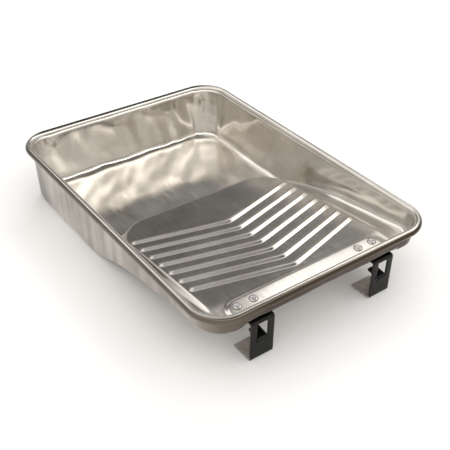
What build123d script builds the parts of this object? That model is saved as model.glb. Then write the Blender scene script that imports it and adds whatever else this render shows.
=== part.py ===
"""Metal paint roller tray: one pressed pan with a rolled rim, and two riveted hook legs.

Frame: millimetres, +Z up, origin on the base plane under the middle of the rim.
+Y points to the deep end (the paint well), -Y to the shallow end with the legs.
"""
from build123d import *
import math
import os

# --- Pan: overall sizes -------------------------------------------------------
rim_width = 280.0           # outside of the rolled rim, across
rim_length = 396.0          # outside of the rolled rim, along
rim_height = 68.0           # base plane to the centre of the rolled rim
rim_corner = 36.0           # plan radius of the rim's outside corners
roll_diameter = 8.0         # outside diameter of the rolled edge
roll_opening = 40.0         # degrees left open between the curl's end and the wall
sheet = 0.6                 # thickness of the pan's sheet
wall_draft = 2.0            # degrees that the walls lean outwards
base_fillet = 7.0           # inside radius where the walls meet the floor

# --- Pan: side gutters, as heights of the bed along the tray ------------------
gutter_lead = 3.0           # crest to where the floor starts to rise at the side walls
first_run = 38.0            # length along Y of the steeper rise
first_angle = 21.5          # degrees
second_run = 44.0           # length along Y of the middle rise
second_angle = 16.0         # degrees
floor_bend = 30.0           # bend radius where the floor starts to rise
bed_bend = 150.0            # bend radius between the rises
shelf_height = 44.8         # top of the level shelf at the shallow end
gutter_end_shelf = 30.0     # length of that shelf at the side walls

# --- Pan: raised ramp ---------------------------------------------------------
well_length = 158.0         # far wall to the crest, where the ramp drops to the well
crest_height = 23.5         # top of the crest
gutter_width = 25.0         # side wall to the ramp's side edge
ramp_corner = 38.0          # plan radius of the crest's two corners
ramp_side_angle = 30.0      # degrees that the ramp's front and sides lean out
ramp_end_shelf = 40.0       # near wall to the top of the ramp

# --- Pan: chevron ribs on the ramp --------------------------------------------
rib_margin = 6.0            # ramp's side edge to a rib's end
rib_first_gap = 37.5        # crest to the ends of the first rib
rib_last_gap = 6.5          # least room from the last rib's middle to the ramp's top
rib_pitch = 18.2
rib_sweep = 29.0            # how far a rib's middle lies behind its ends
rib_width = 7.0
rib_rise = 2.0
rib_side_angle = 35.0

# --- Pan: riveting pad on the shelf -------------------------------------------
pad_margin = 36.0           # side wall to the pad's side edge
pad_far_edge = 35.5         # near wall to the pad's far edge
pad_corner = 14.0
pad_rise = 2.2
pad_side_angle = 40.0

# --- Legs and rivets ----------------------------------------------------------
leg_margin = 6.5            # pad's side edge to the leg's outer edge
leg_width = 27.0
leg_metal = 1.5
flange_margin = 3.0         # pad's far edge to the end of the leg's flange
leg_setback = 0.6           # how far the leg's plate stands outside the pan's wall
foot_depth = 26.0           # length of the foot under the hook
leg_bend = 2.6              # outside radius of the leg's two bends
leg_corner = 2.0            # plan radius of the flange's and the foot's corners
window_width = 12.6
window_sill = 22.0          # base plane to the bottom of the window
window_head = 3.4           # top of the window to the top of the flange
window_corner = 2.0
tongue_clearance = 0.4      # gap between the tongue and each side of the window
tongue_depth = 14.5         # how far the tongue reaches back
tongue_angle = 8.0          # degrees that the tongue rises
tongue_bend = 2.2           # outside radius of the tongue's bend
rivet_edge = 4.0            # middle of a rivet to the leg's side edge
rivet_setback = 26.5        # near wall to the line of rivets
rivet_shank = 4.0
rivet_fit = 0.1             # radial clearance of the shank in the sheet and the leg
rivet_head = 9.4
rivet_head_rise = 1.8
rivet_recess = 3.4
rivet_recess_depth = 0.9
rivet_foot = 7.0
rivet_foot_rise = 1.3

# --- Sizes that follow --------------------------------------------------------
roll_radius = roll_diameter / 2
wall_half_width = rim_width / 2 - roll_diameter
wall_half_length = rim_length / 2 - roll_diameter
wall_corner = rim_corner - roll_diameter
near_wall = -wall_half_length
beyond = 3 * rim_length     # reaches outside the pan from anywhere in it
crest_y = wall_half_length - well_length
gutter_start = crest_y - gutter_lead
shelf_y = near_wall + gutter_end_shelf
ramp_half_width = wall_half_width - gutter_width
ramp_top_y = near_wall + ramp_end_shelf
ramp_slope = math.atan2(shelf_height - crest_height, crest_y - ramp_top_y)
rib_reach = ramp_half_width - rib_margin
rib_room = crest_y - ramp_top_y - rib_first_gap - rib_sweep - rib_last_gap
rib_count = int(rib_room / rib_pitch) + 1
pad_half_width = wall_half_width - pad_margin
pad_top = shelf_height + pad_rise
flange_top = pad_top - sheet
flange_end = near_wall + pad_far_edge - flange_margin
leg_middle = pad_half_width - leg_margin - leg_width / 2
window_height = flange_top - window_head - window_sill
rivet_y = near_wall + rivet_setback
rivet_spacing = leg_width - 2 * rivet_edge
plate_y = near_wall - sheet - leg_setback + (rim_height - pad_top) * math.tan(math.radians(wall_draft))


def edge_shift(drop, angle):
    """How far an edge moves in when its top goes down and its leaning side goes in by the same drop."""
    lean = math.radians(angle)
    return drop * (1 - math.sin(lean)) / math.cos(lean)


def wall_block(drop):
    """Drafted block inside the walls; drop grows it outwards by the sheet's thickness."""
    grow = 2 * drop
    mouth = RectangleRounded(2 * wall_half_width + grow, 2 * wall_half_length + grow, wall_corner + drop)
    return extrude(Pos(0, 0, rim_height) * mouth, amount=-(rim_height - sheet + drop), taper=wall_draft)


def bend_limit(before, corner, after):
    """Largest bend radius that takes up less than half of the shorter run at a corner."""
    half_turn = math.radians((corner - before).get_angle(after - corner)) / 2
    shorter = min((corner - before).length, (after - corner).length)
    return 0.45 * shorter / math.tan(half_turn)


def gutter_block(drop):
    """Everything under the floor, the side gutters and the shelf, seen from the side."""
    first = Vector(gutter_start - first_run, sheet + first_run * math.tan(math.radians(first_angle)))
    second = first + Vector(-second_run, second_run * math.tan(math.radians(second_angle)))
    corners = [
        Vector(beyond, sheet),
        Vector(gutter_start, sheet),
        first,
        second,
        Vector(shelf_y, shelf_height),
        Vector(-beyond, shelf_height),
    ]
    bends = [floor_bend, bed_bend, bed_bend, bed_bend]
    radii = [min(bend, bend_limit(*corners[i : i + 3])) for i, bend in enumerate(bends)]
    top = FilletPolyline(*corners, radius=radii)
    under = Polyline((-beyond, shelf_height), (-beyond, -beyond), (beyond, -beyond), (beyond, sheet))
    section = offset(make_face([top, under]), amount=-drop) if drop else make_face([top, under])
    return extrude(Plane.YZ * section, amount=beyond, both=True)


def ramp_plane(drop):
    """Plane of the ramp's top, with its local Y towards the well and its origin on the crest."""
    normal = Vector(0, math.sin(ramp_slope), math.cos(ramp_slope))
    origin = Vector(0, crest_y, crest_height) - normal * drop
    return Plane(origin=origin, x_dir=(1, 0, 0), z_dir=normal)


def ramp_block(drop):
    """Raised ramp with a leaning front and sides, no higher than the shelf."""
    inset = edge_shift(drop, ramp_side_angle)
    length = 2 * wall_half_length
    outline = Pos(0, -length / 2 - inset) * RectangleRounded(
        2 * (ramp_half_width - inset), length, ramp_corner - inset
    )
    block = extrude(ramp_plane(drop) * outline, amount=-shelf_height, taper=-ramp_side_angle)
    limit = Pos(0, 0, shelf_height - drop - beyond / 2) * Box(beyond, beyond, beyond)
    return block & limit


def rib_blocks(drop):
    """Chevron ribs, their ends towards the well and their middles towards the shelf."""
    half = rib_width / 2 - edge_shift(drop, rib_side_angle)
    reach = rib_reach - edge_shift(drop, rib_side_angle)
    blocks = []
    for number in range(rib_count):
        end = -rib_first_gap - number * rib_pitch
        middle = end - rib_sweep
        outline = Polygon(
            (-reach, end - half),
            (0, middle - half),
            (reach, end - half),
            (reach, end + half),
            (0, middle + half),
            (-reach, end + half),
            align=None,
        )
        plane = ramp_plane(drop).offset(rib_rise)
        blocks.append(extrude(plane * outline, amount=-2 * rib_rise, taper=-rib_side_angle))
    return blocks


def pad_block(drop):
    """Raised pad on the shelf, running into the near wall."""
    inset = edge_shift(drop, pad_side_angle)
    length = 4 * pad_far_edge
    outline = RectangleRounded(2 * (pad_half_width - inset), length, pad_corner - inset)
    far_edge = near_wall + pad_far_edge - inset
    top = Pos(0, far_edge - length / 2, pad_top - drop) * outline
    return extrude(top, amount=-2 * pad_rise, taper=-pad_side_angle)


def along_wall(edge):
    """True for an edge where the bed meets a wall, and not for one across the bed or up a corner."""
    box = edge.bounding_box()
    across = box.size.X > wall_half_width and abs(edge.center().Y) < wall_half_length - 2 * base_fillet
    upright = box.size.Z > rim_height - shelf_height - 2 * base_fillet and box.size.Y < 2 * base_fillet
    at_top = box.min.Z > rim_height - base_fillet / 2
    return not (across or upright or at_top)


def cavity(drop):
    """Solid that fills the pan up to the middle of the roll, with the sheet's top or its underside as skin."""
    trough = wall_block(drop) - gutter_block(drop)
    trough = fillet(trough.edges().filter_by(along_wall), radius=base_fillet + drop)
    trough -= ramp_block(drop)
    trough -= rib_blocks(drop)
    return trough - pad_block(drop)


def curl_section():
    """Ring of sheet, open for a stretch under its inner side."""
    ring = Circle(roll_radius) - Circle(roll_radius - sheet)
    rise = roll_diameter * math.tan(math.radians(roll_opening))
    return ring - Polygon((0, 0), (-roll_diameter, 0), (-roll_diameter, -rise), align=None)


def rolled_edge():
    """Curl all round the rim: four straight runs and four quarter turns."""
    half_width = rim_width / 2 - roll_radius
    half_length = rim_length / 2 - roll_radius
    turn = rim_corner - roll_radius
    straight_x = half_width - turn
    straight_y = half_length - turn
    pieces = []
    for side in (0, 1):
        along = straight_y if side == 0 else straight_x
        out = half_width if side == 0 else half_length
        start = Plane(origin=(out, 0, rim_height), x_dir=(1, 0, 0), z_dir=(0, -1, 0))
        run = extrude(start * curl_section(), amount=along, both=True)
        pieces.append(Rot(0, 0, 90 * side) * run)
        pieces.append(Rot(0, 0, 90 * side + 180) * run)
    upright = Plane(origin=(turn, 0, 0), x_dir=(1, 0, 0), z_dir=(0, -1, 0))
    corner = revolve(upright * curl_section(), axis=Axis.Z, revolution_arc=90)
    for quarter in range(4):
        sign_x = 1 if quarter in (0, 3) else -1
        sign_y = 1 if quarter in (0, 1) else -1
        place = Pos(sign_x * straight_x, sign_y * straight_y, rim_height)
        pieces.append(place * Rot(0, 0, 90 * quarter) * corner)
    return pieces


def rivet_points():
    """Middle of each rivet on the pad, by the name of its node."""
    points = {}
    for side, name in ((-1, "left"), (1, "right")):
        middle = side * leg_middle
        points[name + "_leg_rivet_outer"] = (middle + side * rivet_spacing / 2, rivet_y)
        points[name + "_leg_rivet_inner"] = (middle - side * rivet_spacing / 2, rivet_y)
    return points


def rivet_holes():
    """Cylinders that clear the rivets' shanks through the pad and the flanges."""
    hole = Cylinder(rivet_shank / 2 + rivet_fit, 4 * (sheet + leg_metal))
    return [Pos(x, y, flange_top) * hole for x, y in rivet_points().values()]


def tray_pan():
    """Pressed sheet pan with its rolled edge."""
    shell = cavity(sheet) - cavity(0)
    pan = shell + rolled_edge()
    return pan - rivet_holes()


def leg_strap():
    """Strap bent to a C: flange under the pad, upright plate, foot on the base plane."""
    path = FilletPolyline(
        (flange_end, flange_top),
        (plate_y, flange_top),
        (plate_y, 0),
        (plate_y + foot_depth, 0),
        radius=leg_bend,
    )
    inside = offset(path, amount=leg_metal, side=Side.LEFT)
    strap = extrude(Plane.YZ * make_face(inside), amount=leg_width / 2, both=True)
    rear_corners = strap.edges().filter_by(Axis.Z).group_by(Axis.Y)
    return fillet([edge for edge in rear_corners[-1] + rear_corners[-2]], radius=leg_corner)


def leg_window():
    """Cutter for the window in the plate."""
    outline = RectangleRounded(window_width, window_height, window_corner)
    place = Pos(0, plate_y, window_sill + window_height / 2)
    return place * extrude(Plane.XZ * outline, amount=2 * leg_metal, both=True)


def leg_tongue():
    """Tongue cut from the window and folded back from its sill."""
    slope = math.tan(math.radians(tongue_angle))
    path = FilletPolyline(
        (plate_y, window_sill - window_corner),
        (plate_y, window_sill + leg_metal),
        (plate_y + tongue_depth, window_sill + leg_metal + tongue_depth * slope),
        radius=tongue_bend,
    )
    strip = offset(path, amount=leg_metal, side=Side.RIGHT)
    half = window_width / 2 - tongue_clearance
    return extrude(Plane.YZ * make_face(strip), amount=half, both=True)


def leg(side):
    """One hook leg; side is -1 for the left one and 1 for the right one."""
    body = leg_strap() - leg_window() + leg_tongue()
    return Pos(side * leg_middle, 0, 0) * body - rivet_holes()


def rivet(x, y):
    """Rivet with a dished head on the pad and a set foot under the flange."""
    grip = sheet + leg_metal
    head = extrude(Circle(rivet_head / 2), amount=rivet_head_rise)
    head = fillet(head.edges().group_by(Axis.Z)[-1], radius=0.75 * rivet_head_rise)
    head -= Pos(0, 0, rivet_head_rise) * Cylinder(rivet_recess / 2, 2 * rivet_recess_depth)
    shank = Pos(0, 0, -grip / 2) * Cylinder(rivet_shank / 2, grip)
    foot = Pos(0, 0, -grip - rivet_foot_rise / 2) * Cylinder(rivet_foot / 2, rivet_foot_rise)
    foot = fillet(foot.edges().group_by(Axis.Z)[0], radius=0.6 * rivet_foot_rise)
    return Pos(x, y, pad_top) * (head + shank + foot)


def nodes():
    """Every separate piece of the tray by name."""
    pieces = {"tray_pan": tray_pan(), "left_leg": leg(-1), "right_leg": leg(1)}
    for name, point in rivet_points().items():
        pieces[name] = rivet(*point)
    return pieces


os.makedirs("parts", exist_ok=True)
for node_name, solid in nodes().items():
    export_step(solid, f"parts/{node_name}.step")
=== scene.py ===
"""Looks of a pressed-steel paint roller tray: pan, rolled rim, hook legs and rivets.

The sizes below are in millimetres; meshes are written in metres, in the frame's own place.
"""
import math
import bmesh
import bpy
import numpy as np
from mathutils import Matrix, Vector


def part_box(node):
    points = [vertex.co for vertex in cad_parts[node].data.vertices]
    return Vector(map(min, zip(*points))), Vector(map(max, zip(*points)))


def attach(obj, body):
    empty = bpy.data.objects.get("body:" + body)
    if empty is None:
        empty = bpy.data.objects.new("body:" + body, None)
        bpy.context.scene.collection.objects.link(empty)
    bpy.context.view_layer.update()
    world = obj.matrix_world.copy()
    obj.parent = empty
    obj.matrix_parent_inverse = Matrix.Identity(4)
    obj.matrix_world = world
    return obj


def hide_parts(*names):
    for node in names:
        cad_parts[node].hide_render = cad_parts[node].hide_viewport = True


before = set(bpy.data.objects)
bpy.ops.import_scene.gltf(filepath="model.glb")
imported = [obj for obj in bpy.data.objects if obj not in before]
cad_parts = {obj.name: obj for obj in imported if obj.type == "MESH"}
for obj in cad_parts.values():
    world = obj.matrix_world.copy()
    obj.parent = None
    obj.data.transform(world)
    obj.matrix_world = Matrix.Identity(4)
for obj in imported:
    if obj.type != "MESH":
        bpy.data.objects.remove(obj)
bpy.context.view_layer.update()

MM = 0.001

# --- Pan ----------------------------------------------------------------------
SHEET = 0.6
ROLL_RADIUS = 4.0
ROLL_OPENING = 40.0
ROLL_OVERLAP = 6.0
ROLL_WAVE = 0.4
WALL_DRAFT = math.radians(2.0)
RIM_CORNER = 36.0
BASE_FILLET = 7.0
pan_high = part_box("tray_pan")[1] / MM
RIM_HEIGHT = pan_high.z - ROLL_RADIUS
WALL_HALF_WIDTH = pan_high.x - 2 * ROLL_RADIUS
WALL_HALF_LENGTH = pan_high.y - 2 * ROLL_RADIUS
WALL_CORNER = RIM_CORNER - 2 * ROLL_RADIUS
NEAR_WALL = -WALL_HALF_LENGTH
WELL_DOME = 0.5
WALL_TUCK = 0.3
FILLET_STEPS = 8
WALL_STEPS = 14

# --- Ramp, gutters and pad ----------------------------------------------------
CREST_Y = WALL_HALF_LENGTH - 158.0
CREST_HEIGHT = 23.5
LIP_RISE = 0.33
LIP_RUN = 2.2
LIP_INSET = 2.7
RAMP_HALF_WIDTH = WALL_HALF_WIDTH - 25.0
RAMP_CORNER = 38.0
RAMP_TOP_Y = NEAR_WALL + 40.0
RAMP_SIDE_RUN = math.tan(math.radians(30.0))
SHELF_HEIGHT = 44.8
SHELF_Y = NEAR_WALL + 30.0
GUTTER_START = CREST_Y - 3.0
FIRST_RUN, FIRST_SLOPE = 38.0, math.tan(math.radians(21.5))
SECOND_RUN, SECOND_SLOPE = 44.0, math.tan(math.radians(16.0))
PAD_HALF_WIDTH = WALL_HALF_WIDTH - 36.0
PAD_FAR_Y = NEAR_WALL + 35.5
PAD_CORNER = 14.0
PAD_RISE = 2.2

# --- Ribs ---------------------------------------------------------------------
RIB_COUNT = 7
RIB_PITCH = 18.2
RIB_FIRST_Y = CREST_Y - 37.5
RIB_SWEEP = 29.0
RIB_REACH = RAMP_HALF_WIDTH - 6.0
RIB_WIDTH = 7.0
RIB_RISE = 2.0
RIB_SIDE = 2.8
RIB_APEX = 4.0
RIB_SOFTNESS = 0.006

# --- Legs ---------------------------------------------------------------------
LEG_METAL = 1.5
LEG_BEND = 2.6
FOOT_DEPTH = 26.0
LEG_CORNER = 2.0
WINDOW_HALF = 6.3
WINDOW_SILL = 21.3
WINDOW_TO_FLANGE = 3.4
SLOT_FOOT = 20.4
TONGUE_HALF = 5.8
TONGUE_DEPTH = 14.5
TONGUE_RISE = math.radians(8.0)
TONGUE_BEND = 2.2

# --- Unevenness of the sheet, as (wave length, count, size) -------------------
SHEET_WAVES = ((95.0, 8, 0.07), (48.0, 10, 0.045), (24.0, 10, 0.014))
WALL_FOLDS = ((34.0, 6, 0.24), (18.0, 6, 0.10))
CORNER_PUCKERS = ((13.0, 8, 0.06), (8.0, 6, 0.02))

# --- Stain and painted shade colours ------------------------------------------
# Outside of the pan: stain streaks on a tone painted darker than the inside as painted shade.
WALL_STAIN_AND_SHADE = ((0.37, 0.337, 0.303), (0.64, 0.60, 0.555))
# Rolled edge outside its crown: painted shade, with the same streaks.
RIM_STAIN_AND_SHADE = ((0.14, 0.122, 0.104), (0.18, 0.16, 0.14))
# Near end, from left to right: painted shade, darkest on the right.
NEAR_END_SHADE = ((0.135, 0.112, 0.09), (0.060, 0.044, 0.030))
# Far end: painted shade.
FAR_END_SHADE = (0.085, 0.072, 0.060)
# Outer half of the far rim's roll: painted dark reflection.
FAR_RIM_DARK_REFLECTION = (0.03, 0.028, 0.026)

# --- Floor and camera ---------------------------------------------------------
FLOOR_HALF = 6000.0
CAMERA_PLACE = (-408.2, -579.6, 450.7 + RIM_HEIGHT)
CAMERA_YAW = math.radians(36.48)
CAMERA_PITCH = math.radians(35.85)
CAMERA_ROLL = math.radians(-0.90)
CAMERA_LENS = 61.63


# ==============================================================================
# Small helpers
# ==============================================================================
def link(obj):
    """Puts a new object in the scene."""
    bpy.context.scene.collection.objects.link(obj)
    return obj


def mesh_object(name, vertices, faces):
    """Object from vertices in millimetres and faces, smooth shaded."""
    mesh = bpy.data.meshes.new(name)
    mesh.from_pydata((np.asarray(vertices) * MM).tolist(), [], faces)
    mesh.update()
    mesh.shade_smooth()
    return link(bpy.data.objects.new(name, mesh))


def make_plain(obj):
    """Works the object's modifiers into a plain mesh and removes them."""
    graph = bpy.context.evaluated_depsgraph_get()
    mesh = bpy.data.meshes.new_from_object(obj.evaluated_get(graph))
    obj.modifiers.clear()
    obj.data = mesh
    mesh.name = obj.name


def solidify(obj, thickness, offset):
    """Gives a sheet its thickness."""
    modifier = obj.modifiers.new("thickness", "SOLIDIFY")
    modifier.thickness = thickness * MM
    modifier.offset = offset
    return modifier


def finish_piece(obj, node):
    """Puts the piece on the root body and hides the CAD node that it stands for."""
    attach(obj, "root")
    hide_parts(node)


# ==============================================================================
# Node trees
# ==============================================================================
class Tree:
    """Short way to write a node tree; a value may be a number, a vector or a socket."""

    def __init__(self, tree):
        self.tree = tree

    def node(self, kind, inputs=(), **settings):
        """New node with its settings and inputs."""
        made = self.tree.nodes.new(kind)
        for name, value in settings.items():
            setattr(made, name, value)
        for key, value in dict(inputs).items():
            self.feed(made.inputs[key], value)
        return made

    def feed(self, socket, value):
        """Links a socket to an input, or sets the input's value."""
        if isinstance(value, bpy.types.NodeSocket):
            self.tree.links.new(value, socket)
        else:
            socket.default_value = value

    def math(self, operation, *values, clamp=False):
        """Result of a sum on numbers."""
        made = self.node("ShaderNodeMath", enumerate(values), operation=operation, use_clamp=clamp)
        return made.outputs[0]

    def vector(self, operation, *values):
        """Result of a sum on vectors."""
        return self.node("ShaderNodeVectorMath", enumerate(values), operation=operation).outputs[0]

    def split(self, vector):
        """The three parts of a vector."""
        return self.node("ShaderNodeSeparateXYZ", {0: vector}).outputs

    def joined(self, x=0.0, y=0.0, z=0.0):
        """A vector from its three parts."""
        return self.node("ShaderNodeCombineXYZ", {0: x, 1: y, 2: z}).outputs[0]

    def plus(self, first, second):
        return self.math("ADD", first, second)

    def minus(self, first, second):
        return self.math("SUBTRACT", first, second)

    def times(self, first, second):
        return self.math("MULTIPLY", first, second)

    def over(self, first, second):
        return self.math("DIVIDE", first, second)


def geometry_tree(name, sizes):
    """Empty Geometry Nodes tree with a Geometry input and named number inputs."""
    group = bpy.data.node_groups.new(name, "GeometryNodeTree")
    face = group.interface
    face.new_socket("Geometry", in_out="INPUT", socket_type="NodeSocketGeometry")
    for label, start in sizes.items():
        kind = "NodeSocketInt" if isinstance(start, int) else "NodeSocketFloat"
        face.new_socket(label, in_out="INPUT", socket_type=kind).default_value = start
    face.new_socket("Geometry", in_out="OUTPUT", socket_type="NodeSocketGeometry")
    tree = Tree(group)
    return tree, tree.node("NodeGroupInput").outputs, tree.node("NodeGroupOutput").inputs[0]


def grow(obj, group, **sizes):
    """Adds a Geometry Nodes modifier and sets its inputs by name, with spaces as underscores."""
    modifier = obj.modifiers.new(group.name, "NODES")
    modifier.node_group = group
    for item in group.interface.items_tree:
        label = item.name.replace(" ", "_")
        if item.in_out == "INPUT" and label in sizes:
            modifier[item.identifier] = sizes[label]


def finished_geometry(tree, geometry, material):
    """Realised instances with their material."""
    real = tree.node("GeometryNodeRealizeInstances", {0: geometry}).outputs[0]
    smooth = tree.node("GeometryNodeSetShadeSmooth", {0: real}).outputs[0]
    return tree.node("GeometryNodeSetMaterial", {0: smooth, "Material": material}).outputs[0]


# ==============================================================================
# Materials
# ==============================================================================
def new_material(name):
    """Node material with its tree helper, its Principled shader and object coordinates."""
    material = bpy.data.materials.new(name)
    material.use_nodes = True
    tree = Tree(material.node_tree)
    shader = material.node_tree.nodes["Principled BSDF"]
    place = tree.node("ShaderNodeTexCoord").outputs["Object"]
    return material, tree, shader, place


def noise(tree, place, scale, detail, roughness, stretch=None):
    """Noise on object coordinates; stretch scales the pattern along each axis first."""
    if stretch is not None:
        place = tree.node("ShaderNodeMapping", {"Vector": place, "Scale": stretch}).outputs[0]
    inputs = {"Vector": place, "Scale": scale, "Detail": detail, "Roughness": roughness}
    return tree.node("ShaderNodeTexNoise", inputs).outputs["Fac"]


def ramp(tree, value, low, high, start, end):
    """Value carried from the range low-high to the range start-end, clamped."""
    inputs = {"Value": value, "From Min": low, "From Max": high, "To Min": start, "To Max": end}
    return tree.node("ShaderNodeMapRange", inputs).outputs[0]


def blend_colours(tree, factor, first, second):
    """Colour between two, each a socket or four numbers."""
    mix = tree.node("ShaderNodeMix", data_type="RGBA")
    tree.feed(mix.inputs["Factor"], factor)
    tree.feed(mix.inputs[6], first)
    tree.feed(mix.inputs[7], second)
    return mix.outputs[2]


def tint(tree, factor, first, second):
    """Colour between two plain colours."""
    return blend_colours(tree, factor, (*first, 1), (*second, 1))


def streaks_and_shade_colour(tree, place, cloud, stain_and_shade_tones):
    """Stain in upright streaks, with painted shade darkening both ends of the tray."""
    streak = noise(tree, place, 90.0, 3.0, 0.55, (1.0, 1.0, 0.06))
    patch = ramp(tree, tree.plus(cloud, streak), 0.8, 1.25, 0.0, 1.0)
    streaked = tint(tree, patch, *stain_and_shade_tones)
    across, along, _ = tree.split(place)
    # Both ends are darkened as painted shade, the near end more towards its right.
    far_end = ramp(tree, along, (WALL_HALF_LENGTH - 58) * MM, (WALL_HALF_LENGTH - 22) * MM, 0.0, 0.95)
    near_end = ramp(tree, along, (NEAR_WALL + 34) * MM, (NEAR_WALL + 4) * MM, 0.0, 0.95)
    rightward = ramp(tree, across, (17 - WALL_HALF_WIDTH) * MM, (62 - WALL_HALF_WIDTH) * MM, 0.0, 1.0)
    near_shade_colour = tint(tree, rightward, *NEAR_END_SHADE)
    streaked = blend_colours(tree, far_end, streaked, (*FAR_END_SHADE, 1))
    return blend_colours(tree, near_end, streaked, near_shade_colour)


def steel_surface(tree, shader, place, stain_and_shade_share, stain_and_shade_tones=WALL_STAIN_AND_SHADE, satin=0.0):
    """Tinned sheet from bright (share 0) to streaked stain darkened with painted shade (share 1); returns
    its colour.
    """
    cloud = noise(tree, place, 16.0, 4.0, 0.55)
    grain = noise(tree, place, 260.0, 3.0, 0.6, (1.0, 0.12, 1.0))
    speck = noise(tree, place, 1100.0, 2.0, 0.5)
    scratch = noise(tree, place, 60.0, 2.0, 0.5, (9.0, 0.35, 2.0))
    scratched = ramp(tree, scratch, 0.68, 0.72, 0.0, 1.0)
    mottle = ramp(tree, cloud, 0.35, 0.65, 0.0, 1.0)
    bright = tint(tree, mottle, (0.62, 0.588, 0.54), (0.73, 0.70, 0.66))
    # The bright tinplate gives way to streaked stain with painted shade as the share rises.
    base = blend_colours(tree, stain_and_shade_share, bright, streaks_and_shade_colour(tree, place, cloud, stain_and_shade_tones))
    tree.feed(shader.inputs["Base Color"], base)
    shader.inputs["Metallic"].default_value = 1.0
    rough = tree.plus(ramp(tree, cloud, 0.3, 0.7, 0.12, 0.19), ramp(tree, grain, 0.3, 0.7, -0.03, 0.05))
    tree.feed(shader.inputs["Roughness"], tree.plus(rough, tree.plus(tree.times(scratched, 0.06), satin)))
    relief = tree.plus(tree.times(grain, 0.5), tree.times(speck, 0.5))
    relief = tree.minus(relief, tree.times(scratched, 0.4))
    bump = tree.node("ShaderNodeBump", {"Height": relief, "Strength": 0.15, "Distance": 0.0002})
    tree.feed(shader.inputs["Normal"], bump.outputs[0])
    return base


def bright_steel():
    """Inside of the pan."""
    material, tree, shader, place = new_material("tinned_steel")
    steel_surface(tree, shader, place, 0.0)
    return material


def stained_steel():
    """Outside of the pan: streaked, browner, and darker than the inside as painted shade."""
    material, tree, shader, place = new_material("stained_steel")
    steel_surface(tree, shader, place, 1.0)
    return material


def corner_reach(tree, place):
    """Distance in plan from the centres of the rim's corner arcs."""
    straight = ((pan_high.x - RIM_CORNER) * MM, (pan_high.y - RIM_CORNER) * MM, 0)
    plan = tree.vector("ABSOLUTE", tree.vector("MULTIPLY", place, (1, 1, 0)))
    past = tree.vector("MAXIMUM", tree.vector("SUBTRACT", plan, straight), (0, 0, 0))
    return tree.node("ShaderNodeVectorMath", {0: past}, operation="LENGTH").outputs["Value"]


def rim_steel():
    """Rolled edge: bright inside its crown, streaked and darker outside it as painted shade, with a painted
    dark reflection at the far end.
    """
    material, tree, shader, place = new_material("rim_steel")
    corner = RIM_CORNER - ROLL_RADIUS
    reach = corner_reach(tree, place)
    # Outside the crown the roll turns darker: painted shade on its outer side.
    stain_and_shade_share = ramp(tree, reach, (corner + 0.9) * MM, (corner + 2.4) * MM, 0.0, 1.0)
    base = steel_surface(tree, shader, place, stain_and_shade_share, RIM_STAIN_AND_SHADE, 0.05)
    along = tree.split(place)[1]
    far_side = ramp(tree, along, (pan_high.y - 12) * MM, (pan_high.y - 4.6) * MM, 0.0, 1.0)
    crown = ramp(tree, reach, (corner - 2.3) * MM, (corner - 1.9) * MM, 0.0, 0.95)
    # Painted dark reflection on the far rim, from its crown outwards.
    with_far_dark_reflection = blend_colours(tree, tree.times(far_side, crown), base, (*FAR_RIM_DARK_REFLECTION, 1))
    tree.feed(shader.inputs["Base Color"], with_far_dark_reflection)
    return material


def strap_paint(name, foot_reflection):
    """Thin satin black paint on strap, with a painted grey-brown reflection on top of the foot by the given
    share.
    """
    material, tree, shader, place = new_material(name)
    cloud = noise(tree, place, 70.0, 4.0, 0.6)
    streak = noise(tree, place, 300.0, 3.0, 0.6, (1.0, 1.0, 0.08))
    uneven = ramp(tree, tree.plus(cloud, streak), 0.9, 1.4, 0.0, 1.0)
    paint = tint(tree, uneven, (0.001, 0.001, 0.001), (0.012, 0.011, 0.010))
    # Grey-brown painted reflection for the top of the foot.
    foot_reflection_colour = tint(tree, uneven, (0.36, 0.325, 0.295), (0.54, 0.50, 0.46))
    height = tree.split(place)[2]
    low = ramp(tree, height, 3 * LEG_METAL * MM, 10 * MM, foot_reflection, 0.0)
    tree.feed(shader.inputs["Base Color"], blend_colours(tree, low, paint, foot_reflection_colour))
    tree.feed(shader.inputs["Roughness"], ramp(tree, cloud, 0.3, 0.7, 0.28, 0.44))
    shader.inputs["Specular IOR Level"].default_value = 0.2
    bump = tree.node("ShaderNodeBump", {"Height": streak, "Strength": 0.12, "Distance": 0.0001})
    tree.feed(shader.inputs["Normal"], bump.outputs[0])
    return material


def cut_edge():
    """Sheared edge of the strap: painted, and worn bare low down at the foot."""
    material, tree, shader, place = new_material("sheared_edge")
    patch = noise(tree, place, 160.0, 3.0, 0.6)
    height = tree.split(place)[2]
    low = ramp(tree, height, 2 * MM, 5 * MM, 1.0, 0.0)
    bare = tree.times(ramp(tree, patch, 0.36, 0.46, 0.0, 1.0), low)
    tree.feed(shader.inputs["Base Color"], tint(tree, bare, (0.012, 0.012, 0.012), (0.55, 0.53, 0.50)))
    tree.feed(shader.inputs["Metallic"], bare)
    tree.feed(shader.inputs["Roughness"], ramp(tree, patch, 0.3, 0.7, 0.32, 0.5))
    return material


def rivet_steel():
    """Plated rivet with a trace of dullness."""
    material, tree, shader, place = new_material("rivet_steel")
    cloud = noise(tree, place, 300.0, 3.0, 0.6)
    shader.inputs["Metallic"].default_value = 1.0
    tree.feed(shader.inputs["Base Color"], tint(tree, cloud, (0.40, 0.39, 0.375), (0.66, 0.65, 0.63)))
    tree.feed(shader.inputs["Roughness"], ramp(tree, cloud, 0.3, 0.7, 0.16, 0.3))
    return material


def floor_paper():
    """Pale matt floor."""
    material, tree, shader, place = new_material("pale_floor")
    cloud = noise(tree, place, 1.5, 2.0, 0.5)
    tree.feed(shader.inputs["Base Color"], tint(tree, cloud, (0.86, 0.855, 0.845), (0.88, 0.875, 0.865)))
    shader.inputs["Roughness"].default_value = 0.85
    return material


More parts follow.
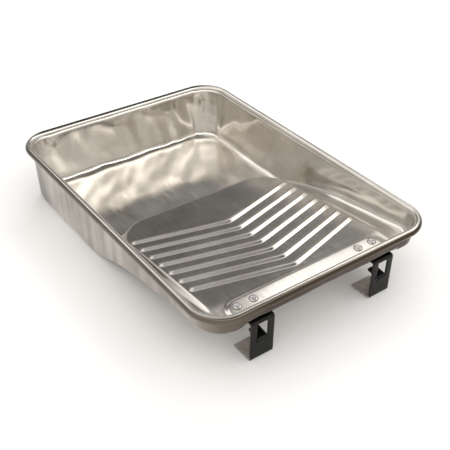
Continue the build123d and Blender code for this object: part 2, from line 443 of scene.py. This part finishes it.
# ==============================================================================
# Shape of the pressed bed
# ==============================================================================
def soft_step(run, width):
    """Zero before 0 and a slope of one after it, with a bend of about that width."""
    return 0.5 * (run + np.sqrt(run * run + width * width))


def corner_distance(x, y, half_width, end_y, radius):
    """Distance outside an outline with parallel sides and one rounded end towards +Y."""
    across = np.abs(x) - half_width + radius
    along = y - end_y + radius
    outside = np.hypot(np.maximum(across, 0), np.maximum(along, 0))
    return outside + np.minimum(np.maximum(across, along), 0) - radius


def step_down(distance, run, top_edge, foot_edge):
    """Share of a step that is done at a distance past its edge."""
    return (soft_step(distance, top_edge) - soft_step(distance - run, foot_edge)) / run


def gutter_height(y):
    """Bed height along the side walls."""
    first = GUTTER_START - FIRST_RUN
    second = first - SECOND_RUN
    risen = SHEET + FIRST_RUN * FIRST_SLOPE + SECOND_RUN * SECOND_SLOPE
    last_slope = (SHELF_HEIGHT - risen) / (second - SHELF_Y)
    height = SHEET + FIRST_SLOPE * soft_step(GUTTER_START - y, 6.0)
    height += (SECOND_SLOPE - FIRST_SLOPE) * soft_step(first - y, 8.0)
    height += (last_slope - SECOND_SLOPE) * soft_step(second - y, 10.0)
    return height - last_slope * soft_step(SHELF_Y - y, 11.0)


def ramp_height(y):
    """Height of the raised ramp's plane, levelling out at the shelf."""
    slope = (SHELF_HEIGHT - CREST_HEIGHT) / (CREST_Y - RAMP_TOP_Y)
    return CREST_HEIGHT + slope * (CREST_Y - y) - slope * soft_step(RAMP_TOP_Y - y, 5.0)


def bed_height(x, y):
    """Top of the sheet over the plan, without the ribs."""
    outside = corner_distance(x, y, RAMP_HALF_WIDTH, CREST_Y, RAMP_CORNER)
    front = np.clip((y - CREST_Y + 62) / 30, 0, 1)
    lip = step_down(outside + LIP_INSET, LIP_RUN, 0.4, 0.4)
    top = ramp_height(y) + LIP_RISE * front * lip
    depth = np.maximum(top - gutter_height(y), 0)
    run = np.clip(depth * RAMP_SIDE_RUN, 4.5, 12.0)
    height = top - depth * step_down(outside, run, 0.8, 3.5)
    pad = corner_distance(x, y, PAD_HALF_WIDTH, PAD_FAR_Y, PAD_CORNER)
    return height + PAD_RISE * (1 - step_down(pad, 1.8, 1.0, 1.2))


def waves(points, seed, layers):
    """Sum of sine waves in random directions; layers are (wave length, count, size)."""
    rng = np.random.default_rng(seed)
    total = np.zeros(len(points))
    for wave_length, count, size in layers:
        for _ in range(count):
            direction = rng.normal(size=points.shape[1])
            direction *= 2 * math.pi / (wave_length * np.linalg.norm(direction))
            total += size * np.sin(points @ direction + rng.uniform(0, 2 * math.pi))
    return total


def waviness(points):
    """Unevenness of thin drawn sheet, in millimetres."""
    x, y, z = points.T
    well = np.clip((y - CREST_Y + 8) / 25, 0, 1)
    wall = np.clip((np.maximum(np.abs(x) - WALL_HALF_WIDTH, np.abs(y) - WALL_HALF_LENGTH) + 4.5) / 4, 0, 1)
    sheet = waves(points, 7, SHEET_WAVES)
    along = np.column_stack([x + 0.25 * z, y + 0.2 * z, 0.25 * z])
    folds = waves(along, 11, WALL_FOLDS)
    corner = np.hypot(np.abs(x) - WALL_HALF_WIDTH + 14, y - WALL_HALF_LENGTH + 14)
    pucker = waves(points, 5, CORNER_PUCKERS) * np.exp(-((corner / 16) ** 2))
    calm_sheet = 0.25 + 0.9 * np.maximum(well, 0.6 * wall)
    far_wall = wall * np.clip((y - WALL_HALF_LENGTH + 12) / 6, 0, 1)
    domed = WELL_DOME * well * np.clip(1 - z / 12, 0, 1)
    return sheet * calm_sheet + folds * wall * (0.4 + 0.5 * well + 1.5 * far_wall) + pucker - domed


# ==============================================================================
# Grid of the bed
# ==============================================================================
def spaced(*stops):
    """Positions from stop to stop, each stop given as (position, spacing up to it)."""
    places = [stops[0][0]]
    for position, spacing in stops[1:]:
        start = places[-1]
        count = max(1, round(abs(position - start) / spacing))
        places += list(np.linspace(start, position, count + 1)[1:])
    return np.array(places)


def columns(half_width):
    """Places across the bed, closer at the ribs' middle, the ramp's corners and the edges."""
    half = spaced((0, 0), (6, 1.5), (62, 4.5), (92, 2.0), (110, 1.3), (half_width, 1.7))
    return np.concatenate([-half[:0:-1], half])


def rows(near_y, far_y):
    """Places along the bed at its sides, closer at the ribs' bends, the crest and the pad's edge."""
    slant = math.hypot(RIB_SWEEP, RIB_REACH) / RIB_REACH
    toe, shoulder = RIB_WIDTH / 2, RIB_WIDTH / 2 - RIB_SIDE
    bends = [toe + 1.1, toe + 0.35, toe - 0.35, shoulder + 0.35, shoulder - 0.35]
    bends += [-bend for bend in reversed(bends)]
    ribs = []
    for number in range(RIB_COUNT):
        middle = RIB_FIRST_Y - number * RIB_PITCH
        ribs += [(middle + bends[0] * slant, 3.2)]
        ribs += [(middle + bend * slant, 2.0) for bend in bends[1:]]
    last = ribs[-1][0]
    stops = [(far_y, 0), (far_y - 26, 2.2), (60, 4.5), (36, 1.6), (25, 0.8), (RIB_FIRST_Y + 7, 2.2)]
    stops += ribs
    stops += [(last - 3, 1.5), (PAD_FAR_Y + 3, 4.5), (PAD_FAR_Y - 3, 0.7), (near_y, 2.4)]
    return spaced(*stops)


def sheared(x, y):
    """Rows bent to run along the ribs, and straight again at the crest and the pad."""
    last = RIB_FIRST_Y - (RIB_COUNT - 1) * RIB_PITCH - 0.6 * RIB_WIDTH
    first = RIB_FIRST_Y + 0.6 * RIB_WIDTH
    fade_in = np.clip((CREST_Y - 4 - y) / (CREST_Y - 4 - first), 0, 1)
    fade_out = np.clip((y - PAD_FAR_Y - 4) / (last - PAD_FAR_Y - 4), 0, 1)
    reach = np.minimum(np.sqrt(x * x + RIB_APEX**2), RIB_REACH)
    return y - RIB_SWEEP * np.minimum(fade_in, fade_out) * (1 - reach / RIB_REACH)


def rounded(x, y, half_width, half_length, radius):
    """A rectangle's points moved so that its corners become round; returns the outward turn too."""
    a = np.clip((np.abs(x) - half_width + radius) / radius, 0, 1)
    b = np.clip((np.abs(y) - half_length + radius) / radius, 0, 1)
    turn_x = a * np.sqrt(1 - b * b / 2)
    turn_y = b * np.sqrt(1 - a * a / 2)
    new_x = np.where(a > 0, np.sign(x) * (half_width - radius + radius * turn_x), x)
    new_y = np.where(b > 0, np.sign(y) * (half_length - radius + radius * turn_y), y)
    return new_x, new_y, np.sign(x) * turn_x, np.sign(y) * turn_y


def inset_at(height):
    """How far the bed's edge lies inside the wall's top, with the fillet starting at a height."""
    return BASE_FILLET + (RIM_HEIGHT - height - BASE_FILLET) * math.tan(WALL_DRAFT)


def bed_grid():
    """Plan positions and outward turns of the bed's grid, (rows, columns)."""
    far = WALL_HALF_LENGTH - inset_at(SHEET)
    near = WALL_HALF_LENGTH - inset_at(SHELF_HEIGHT)
    nominal = WALL_HALF_WIDTH - inset_at(SHEET)
    x, y = np.meshgrid(columns(nominal), rows(-near, far))
    y = sheared(x, y)
    inset = inset_at(gutter_height(y))
    half_width = WALL_HALF_WIDTH - inset
    x = x * half_width / nominal
    half_length = np.where(y > 0, far, near)
    return rounded(x, y, half_width, half_length, WALL_CORNER - inset)


def perimeter(count_y, count_x):
    """Grid indices once round the edge, counterclockwise from the far left corner."""
    index = np.arange(count_y * count_x).reshape(count_y, count_x)
    return np.concatenate([index[:-1, 0], index[-1, :-1], index[:0:-1, -1], index[0, :0:-1]])


def side_rings(start, turn):
    """Rings up the fillet and the wall from the bed's edge: their points and outward normals."""
    points, normals = [], []
    for angle in np.linspace(0, math.pi / 2 - WALL_DRAFT, FILLET_STEPS + 1)[1:]:
        out = BASE_FILLET * math.sin(angle)
        up = BASE_FILLET * (1 - math.cos(angle))
        points.append(np.column_stack([start[:, :2] + turn * out, start[:, 2] + up]))
        normals.append(np.column_stack([turn * math.sin(angle), np.full(len(start), -math.cos(angle))]))
    foot = points[-1]
    for share in np.linspace(0, 1, WALL_STEPS + 1)[1:]:
        rise = (RIM_HEIGHT - foot[:, 2]) * share
        tuck = WALL_TUCK if share == 1 else 0.0
        out = turn * (rise * math.tan(WALL_DRAFT) + tuck)[:, None]
        points.append(np.column_stack([foot[:, :2] + out, foot[:, 2] + rise]))
        normals.append(normals[-1])
    return points, normals


def surface_quads(count_y, count_x, rings):
    """Quads of the bed's grid and of the rings that follow it."""
    index = np.arange(count_y * count_x).reshape(count_y, count_x)
    quads = [np.stack([index[:-1, :-1], index[1:, :-1], index[1:, 1:], index[:-1, 1:]], -1).reshape(-1, 4)]
    lower = perimeter(count_y, count_x)
    for ring in range(rings):
        upper = index.size + ring * len(lower) + np.arange(len(lower))
        quads.append(np.stack([lower, upper, np.roll(upper, -1), np.roll(lower, -1)], -1))
        lower = upper
    return np.concatenate(quads)


def pan_surface():
    """Inner surface of the pan from the bed to the middle of the roll: vertices and quads."""
    x, y, turn_x, turn_y = bed_grid()
    bed = np.stack([x, y, bed_height(x, y)], -1).reshape(-1, 3)
    down = np.tile([0.0, 0.0, -1.0], (len(bed), 1))
    edge = perimeter(*x.shape)
    turn = np.stack([turn_x, turn_y], -1).reshape(-1, 2)[edge]
    turn /= np.linalg.norm(turn, axis=1, keepdims=True)
    ring_points, ring_normals = side_rings(bed[edge], turn)
    points = np.concatenate([bed, *ring_points])
    normals = np.concatenate([down, *ring_normals])
    calm = np.clip((RIM_HEIGHT - 1 - points[:, 2]) / 14, 0, 1)
    points += normals * (waviness(points) * calm)[:, None]
    return points, surface_quads(*x.shape, len(ring_points))


def soft_start(tree, value):
    """Zero below 0 and the value above it, with a small bend between."""
    bent = tree.math("SQRT", tree.plus(tree.times(value, value), RIB_SOFTNESS))
    return tree.times(tree.plus(value, bent), 0.5)


def length_of(tree, first, second):
    """Long side over two square sides."""
    return tree.math("SQRT", tree.plus(tree.times(first, first), tree.times(second, second)))


def ribs_tree(material):
    """Presses chevron ribs up out of a surface, by a rule that repeats along the ramp."""
    names = ("First Y", "Pitch", "Sweep", "Reach", "Width", "Side", "Rise", "Apex")
    tree, given, result = geometry_tree("pressed_ribs", {"Count": 1, **{name: 1.0 for name in names}})
    place = tree.node("GeometryNodeInputPosition").outputs[0]
    across, along, _ = tree.split(place)
    reach, pitch = given["Reach"], given["Pitch"]
    bent = tree.math("MINIMUM", length_of(tree, across, given["Apex"]), reach)
    drop = tree.times(given["Sweep"], tree.minus(1.0, tree.over(bent, reach)))
    turns = tree.over(tree.minus(tree.minus(given["First Y"], drop), along), pitch)
    last = tree.minus(given["Count"], 1.0)
    nearest = tree.math("MINIMUM", tree.math("MAXIMUM", tree.math("ROUND", turns), 0.0), last)
    slant = tree.math("COSINE", tree.math("ARCTAN2", given["Sweep"], reach))
    beside = tree.times(tree.times(tree.minus(turns, nearest), pitch), slant)
    past = tree.math("MAXIMUM", tree.minus(tree.math("ABSOLUTE", across), reach), 0.0)
    inside = tree.minus(tree.times(given["Width"], 0.5), length_of(tree, beside, past))
    share = tree.over(inside, given["Side"])
    climb = tree.minus(soft_start(tree, share), soft_start(tree, tree.minus(share, 1.0)))
    offset = tree.joined(z=tree.times(given["Rise"], climb))
    moved = tree.node("GeometryNodeSetPosition", {0: given["Geometry"], "Offset": offset}).outputs[0]
    tree.feed(result, finished_geometry(tree, moved, material))
    return tree.tree


def make_pan(inside, outside):
    """Pressed pan up to the middle of the rolled edge."""
    points, quads = pan_surface()
    pan = mesh_object("pressed_pan", points, quads.tolist())
    pan.data.materials.append(inside)
    pan.data.materials.append(outside)
    grow(
        pan, ribs_tree(inside), Count=RIB_COUNT, First_Y=RIB_FIRST_Y * MM, Pitch=RIB_PITCH * MM,
        Sweep=RIB_SWEEP * MM, Reach=RIB_REACH * MM, Width=RIB_WIDTH * MM,
        Side=RIB_SIDE * MM, Rise=RIB_RISE * MM, Apex=RIB_APEX * MM,
    )
    solidify(pan, SHEET, -1).material_offset = 1
    make_plain(pan)
    finish_piece(pan, "tray_pan")


# ==============================================================================
# Rolled rim
# ==============================================================================
def rim_tree(material):
    """Open curl of sheet swept round a rectangle with rounded corners."""
    names = ("Width", "Length", "Corner", "Height", "Roll Radius", "Start", "Turn", "Wave")
    tree, given, result = geometry_tree("rolled_edge", {name: 1.0 for name in names})
    frame_line = tree.node(
        "GeometryNodeCurvePrimitiveQuadrilateral", {"Width": given["Width"], "Height": given["Length"]}
    ).outputs[0]
    fillet_inputs = {"Curve": frame_line, "Radius": given["Corner"], "Count": 40, "Limit Radius": True}
    fillet = tree.node("GeometryNodeFilletCurve", fillet_inputs, mode="POLY")
    arc = tree.node("GeometryNodeCurveArc", {
        "Resolution": 44, "Radius": given["Roll Radius"], "Start Angle": given["Start"],
        "Sweep Angle": given["Turn"],
    })
    path = tree.node("GeometryNodeSubdivideCurve", {"Curve": fillet.outputs[0], "Cuts": 1}).outputs[0]
    swept = tree.node("GeometryNodeCurveToMesh", {"Curve": path, "Profile Curve": arc.outputs[0]}).outputs[0]
    place = tree.node("GeometryNodeInputPosition").outputs[0]
    rough = tree.node("ShaderNodeTexNoise", {"Vector": place, "Scale": 14.0, "Detail": 2.0}).outputs["Fac"]
    uneven = tree.times(tree.minus(rough, 0.5), given["Wave"])
    normal = tree.node("GeometryNodeInputNormal").outputs[0]
    push = tree.node("ShaderNodeVectorMath", {0: normal, "Scale": uneven}, operation="SCALE").outputs[0]
    offset = tree.vector("ADD", push, tree.joined(z=given["Height"]))
    moved = tree.node("GeometryNodeSetPosition", {0: swept, "Offset": offset}).outputs[0]
    tree.feed(result, finished_geometry(tree, moved, material))
    return tree.tree


def make_rim(material):
    """Rolled edge all round the pan."""
    rim = mesh_object("rolled_rim", np.zeros((1, 3)), [])
    grow(
        rim, rim_tree(material), Width=2 * (pan_high.x - ROLL_RADIUS) * MM,
        Length=2 * (pan_high.y - ROLL_RADIUS) * MM, Corner=(RIM_CORNER - ROLL_RADIUS) * MM,
        Height=RIM_HEIGHT * MM, Roll_Radius=ROLL_RADIUS * MM, Start=math.radians(180 - ROLL_OVERLAP),
        Turn=math.radians(360 + ROLL_OVERLAP - ROLL_OPENING), Wave=ROLL_WAVE * MM,
    )
    solidify(rim, SHEET, -1)
    make_plain(rim)
    finish_piece(rim, "tray_pan")


# ==============================================================================
# Legs
# ==============================================================================
def bent_path(corners, radii):
    """Line with rounded corners, as (start, direction, length, radius, turn) runs in a plane."""
    runs = []
    position = Vector(corners[0])
    for number, radius in enumerate(radii):
        before = Vector(corners[number + 1]) - Vector(corners[number])
        after = Vector(corners[number + 2]) - Vector(corners[number + 1])
        direction, following = before.normalized(), after.normalized()
        turn = -direction.angle_signed(following)
        tangent = radius * math.tan(abs(turn) / 2)
        stop = Vector(corners[number + 1]) - direction * tangent
        runs.append((position, direction, (stop - position).length, None, 0.0))
        runs.append((stop, direction, radius * abs(turn), radius, turn))
        position = Vector(corners[number + 1]) + following * tangent
    last = Vector(corners[-1]) - position
    runs.append((position, last.normalized(), last.length, None, 0.0))
    return runs


def along_path(runs, distance):
    """Point at a distance along a bent path."""
    number = 0
    while distance > runs[number][2] + 1e-6 and number < len(runs) - 1:
        distance -= runs[number][2]
        number += 1
    start, direction, length, radius, turn = runs[number]
    if radius is None:
        return start + direction * distance
    side = Vector((-direction.y, direction.x)) * math.copysign(1, turn)
    part = abs(turn * distance / length)
    return start + direction * (radius * math.sin(part)) + side * (radius * (1 - math.cos(part)))


def path_stops(runs, spacing):
    """Distances along a bent path: its joints, with arcs in small steps."""
    stops, total = [0.0], 0.0
    for _, _, length, radius, _ in runs:
        count = 8 if radius else max(1, round(length / spacing))
        stops += [total + length * (k + 1) / count for k in range(count)]
        total += length
    return stops


def strap_grid(bm, runs, stops, across, middle_x, keep):
    """Adds a bent sheet's quads to bm, leaving out the cells that keep refuses."""
    grid = {}

    def vertex(i, j):
        """Vertex at a place in the grid, made once."""
        if (i, j) not in grid:
            point = along_path(runs, stops[j])
            grid[i, j] = bm.verts.new(((middle_x + across[i]) * MM, point.x * MM, point.y * MM))
        return grid[i, j]

    for i in range(len(across) - 1):
        for j in range(len(stops) - 1):
            if keep((across[i] + across[i + 1]) / 2, along_path(runs, (stops[j] + stops[j + 1]) / 2)):
                bm.faces.new([vertex(i, j), vertex(i + 1, j), vertex(i + 1, j + 1), vertex(i, j + 1)])


def leg_sheet(name, node):
    """Bent strap without its thickness: flange, upright with its window, foot and folded tongue."""
    low, high = (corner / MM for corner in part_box(node))
    middle = (low.x + high.x) / 2
    half = (high.x - low.x) / 2
    front, back, top, foot_end = low.y, high.y, high.z, low.y + FOOT_DEPTH
    head = top - WINDOW_TO_FLANGE
    strap = bent_path([(back, top), (front, top), (front, 0), (foot_end, 0)], [LEG_BEND, LEG_BEND])
    edges = [(-half, 0), (-WINDOW_HALF, 2.4), (-TONGUE_HALF, 1), (TONGUE_HALF, 2.4), (WINDOW_HALF, 1)]
    across = spaced(*edges, (half, 2.4))
    plate_start = back - front - LEG_BEND + LEG_BEND * math.pi / 2
    level = [plate_start + top - LEG_BEND - z for z in (head, WINDOW_SILL, SLOT_FOOT)]
    stops = sorted(set(round(s, 4) for s in path_stops(strap, 3.0) + level))

    def in_strap(x, point):
        """Whether a cell lies outside the window and the slots beside the tongue's root."""
        sill = WINDOW_SILL if abs(x) <= TONGUE_HALF else SLOT_FOOT
        return not (abs(x) < WINDOW_HALF and sill < point.y < head and point.x < front + 1)

    bm = bmesh.new()
    strap_grid(bm, strap, stops, across, middle, in_strap)
    lift = WINDOW_SILL + TONGUE_BEND
    tip = (front + TONGUE_DEPTH, lift + TONGUE_DEPTH * math.tan(TONGUE_RISE))
    fold = bent_path([(front, WINDOW_SILL - 0.001), (front, lift), tip], [TONGUE_BEND])
    tongue = [x for x in across if abs(x) < WINDOW_HALF - 0.01]
    strap_grid(bm, fold, path_stops(fold, 2.5), tongue, middle, lambda x, point: True)
    bmesh.ops.remove_doubles(bm, verts=bm.verts, dist=0.02 * MM)
    corners = [v for v in bm.verts if len(v.link_faces) == 1 and v.is_boundary]
    bmesh.ops.bevel(bm, geom=corners, offset=LEG_CORNER * MM, segments=5, profile=0.5, affect="VERTICES")
    mesh = bpy.data.meshes.new(name)
    bm.to_mesh(mesh)
    bm.free()
    return link(bpy.data.objects.new(name, mesh))


def make_leg(name, node, materials):
    """Strap bent to a C, with a window and the tongue folded back from it."""
    leg = leg_sheet(name, node)
    for material in materials:
        leg.data.materials.append(material)
    thickness = solidify(leg, LEG_METAL, 1)
    thickness.use_even_offset = True
    thickness.material_offset = 1
    thickness.material_offset_rim = 2
    bevel = leg.modifiers.new("edges", "BEVEL")
    bevel.width = 0.22 * MM
    bevel.segments = 2
    bevel.limit_method = "ANGLE"
    bevel.angle_limit = math.radians(50)
    make_plain(leg)
    leg.data.shade_smooth()
    leg.data.set_sharp_from_angle(angle=math.radians(40))
    finish_piece(leg, node)


# ==============================================================================
# Rivets
# ==============================================================================
def turned_solid(name, section, steps):
    """Closed solid turned about the upright axis from (radius, height) points, in millimetres."""
    section = np.array(section, float)
    angles = np.linspace(0, 2 * math.pi, steps, endpoint=False)
    inner = section[1:-1]
    ring = [np.column_stack([r * np.cos(angles), r * np.sin(angles), np.full(steps, z)]) for r, z in inner]
    points = np.concatenate([[(0, 0, section[0][1])], *ring, [(0, 0, section[-1][1])]])
    faces = []
    for k in range(steps):
        following = (k + 1) % steps
        faces.append((0, 1 + k, 1 + following))
        for row in range(len(inner) - 1):
            a, b = 1 + row * steps, 1 + (row + 1) * steps
            faces.append((a + k, b + k, b + following, a + following))
        a = 1 + (len(inner) - 1) * steps
        faces.append((a + following, a + k, len(points) - 1))
    return mesh_object(name, points, faces)


def rivet_tree(material):
    """Stands a rivet on a point, turned about its own axis, and gives it its material."""
    tree, given, result = geometry_tree("set_rivet", {"X": 1.0, "Y": 1.0, "Z": 1.0, "Spin": 1.0})
    spot = tree.joined(given["X"], given["Y"], given["Z"])
    point = tree.node("GeometryNodeMeshLine", {"Count": 1, "Start Location": spot}).outputs[0]
    turn = tree.joined(z=given["Spin"])
    inputs = {"Points": point, "Instance": given["Geometry"], "Rotation": turn}
    placed = tree.node("GeometryNodeInstanceOnPoints", inputs).outputs[0]
    tree.feed(result, finished_geometry(tree, placed, material))
    return tree.tree


def rivet_section(radius, rise, foot):
    """Half section of a dished rivet from its top to its foot; heights from the pad's top."""
    grip = -SHEET - LEG_METAL
    dish = [(0, rise - 0.55), (0.5, rise - 0.62), (1.0, rise - 0.86), (1.45, rise - 0.78)]
    crown = [(1.75, rise - 0.3), (2.1, rise - 0.05), (2.6, rise), (3.2, rise - 0.1)]
    shoulder = [(3.9, rise - 0.45), (4.4, rise - 0.95), (radius - 0.06, rise - 1.4)]
    skirt = [(radius, 0.05), (radius - 0.1, -0.03)]
    shank = [(1.9, -0.05), (1.9, grip)]
    tail = [(3.4, grip), (3.5, grip - 0.25), (3.3, grip - 0.8), (2.6, foot + 0.12), (1.6, foot), (0, foot)]
    return dish + crown + shoulder + skirt + shank + tail


def make_rivets(material):
    """A dished rivet at each rivet node."""
    group = rivet_tree(material)
    nodes = sorted(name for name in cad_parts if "rivet" in name)
    for number, node in enumerate(nodes):
        low, high = (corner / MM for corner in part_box(node))
        radius = (high.x - low.x) / 2
        pad_top = SHELF_HEIGHT + PAD_RISE
        rise = high.z - pad_top
        foot = low.z - pad_top
        rivet = turned_solid(node + "_head", rivet_section(radius, rise, foot), 40)
        grow(
            rivet, group, X=(low.x + high.x) / 2 * MM, Y=(low.y + high.y) / 2 * MM,
            Z=pad_top * MM, Spin=1.3 * number,
        )
        make_plain(rivet)
        finish_piece(rivet, node)


# ==============================================================================
# Stage
# ==============================================================================
def make_floor():
    """Wide pale floor under the tray."""
    corners = np.array([(-1, -1, 0), (1, -1, 0), (1, 1, 0), (-1, 1, 0)]) * FLOOR_HALF
    floor = mesh_object("floor", corners, [(0, 1, 2, 3)])
    floor.data.materials.append(floor_paper())


def soft_box(name, place, size, power):
    """Rectangular studio light aimed at the tray and not mirrored in it; places in metres."""
    light = bpy.data.lights.new(name, "AREA")
    light.shape = "RECTANGLE"
    light.size, light.size_y = size
    light.energy = power
    lamp = link(bpy.data.objects.new(name, light))
    lamp.location = place
    lamp.rotation_euler = (-Vector(place)).to_track_quat("-Z", "Y").to_euler()
    lamp.visible_glossy = False


def smooth_rise(tree, value, start, end):
    """Smooth rise from 0 to 1 between two values."""
    inputs = {"Value": value, "From Min": start, "From Max": end}
    return tree.node("ShaderNodeMapRange", inputs, interpolation_type="SMOOTHSTEP").outputs[0]


def up_at(degrees):
    """Upward part of a direction that points so many degrees above level."""
    return math.sin(math.radians(degrees))


def sky_gradient(tree):
    """Studio surround: dark grey walls, a soft bright band above them, brighter to the right."""
    way = tree.node("ShaderNodeTexCoord").outputs["Generated"]
    east, north, up = tree.split(way)
    bearing = tree.math("ARCTAN2", east, north)
    aside = tree.math("ABSOLUTE", tree.minus(bearing, math.radians(25)))
    wall = ramp(tree, aside, math.radians(3), math.radians(110), 0.16, 0.95)
    horizon = ramp(tree, up, up_at(6), up_at(21), 0.9, 0.0)
    band = smooth_rise(tree, up, up_at(33), up_at(39))
    zenith = smooth_rise(tree, up, up_at(45), up_at(58))
    to_left = tree.minus(tree.times(east, 0.7), tree.times(north, 0.5))
    shade = tree.math("ADD", 0.64, to_left, clamp=True)
    band = tree.times(band, tree.minus(1.0, tree.times(zenith, shade)))
    gap = smooth_rise(tree, aside, math.radians(12), math.radians(17))
    opening = tree.math("MAXIMUM", gap, zenith)
    lean = tree.minus(tree.times(east, 0.9), tree.times(north, 0.4))
    glow = tree.times(tree.times(band, tree.plus(lean, 1.6)), tree.plus(tree.times(opening, 0.86), 0.14))
    fade = tree.minus(1.0, tree.times(zenith, 0.86))
    return tree.plus(tree.times(tree.math("MAXIMUM", wall, horizon), fade), glow)


def make_light():
    """Studio surround, with two soft boxes for the floor and the paint."""
    world = bpy.data.worlds.new("studio")
    bpy.context.scene.world = world
    world.use_nodes = True
    tree = Tree(world.node_tree)
    back = world.node_tree.nodes["Background"]
    back.inputs["Color"].default_value = (1.0, 0.985, 0.955, 1)
    tree.feed(back.inputs["Strength"], sky_gradient(tree))
    soft_box("key", (0.9, 1.3, 1.7), (0.9, 0.7), 7.0)
    soft_box("fill", (-0.2, -0.3, 2.4), (2.5, 2.5), 16.0)
    bpy.context.scene.view_settings.view_transform = "Standard"


def make_camera():
    """Camera looking down on the tray from its near left."""
    flat = math.cos(CAMERA_PITCH)
    ahead = Vector((math.sin(CAMERA_YAW) * flat, math.cos(CAMERA_YAW) * flat, -math.sin(CAMERA_PITCH)))
    level = Vector((math.cos(CAMERA_YAW), -math.sin(CAMERA_YAW), 0))
    plumb = ahead.cross(level)
    right = level * math.cos(CAMERA_ROLL) + plumb * math.sin(CAMERA_ROLL)
    down = plumb * math.cos(CAMERA_ROLL) - level * math.sin(CAMERA_ROLL)
    data = bpy.data.cameras.new("camera")
    data.sensor_width = 36.0
    data.lens = CAMERA_LENS
    camera = link(bpy.data.objects.new("camera", data))
    turn = Matrix((right, -down, -ahead)).transposed()
    camera.matrix_world = Matrix.Translation(Vector(CAMERA_PLACE) * MM) @ turn.to_4x4()
    bpy.context.scene.camera = camera


# ==============================================================================
# The tray
# ==============================================================================
make_camera()
make_floor()
make_light()
make_pan(bright_steel(), stained_steel())
make_rim(rim_steel())
# The first material carries the painted reflection on top of the foot.
leg_materials = (strap_paint("rubbed_paint", 1.0), strap_paint("black_paint", 0.0), cut_edge())
for side in ("left", "right"):
    make_leg(side + "_leg_strap", side + "_leg", leg_materials)
make_rivets(rivet_steel())
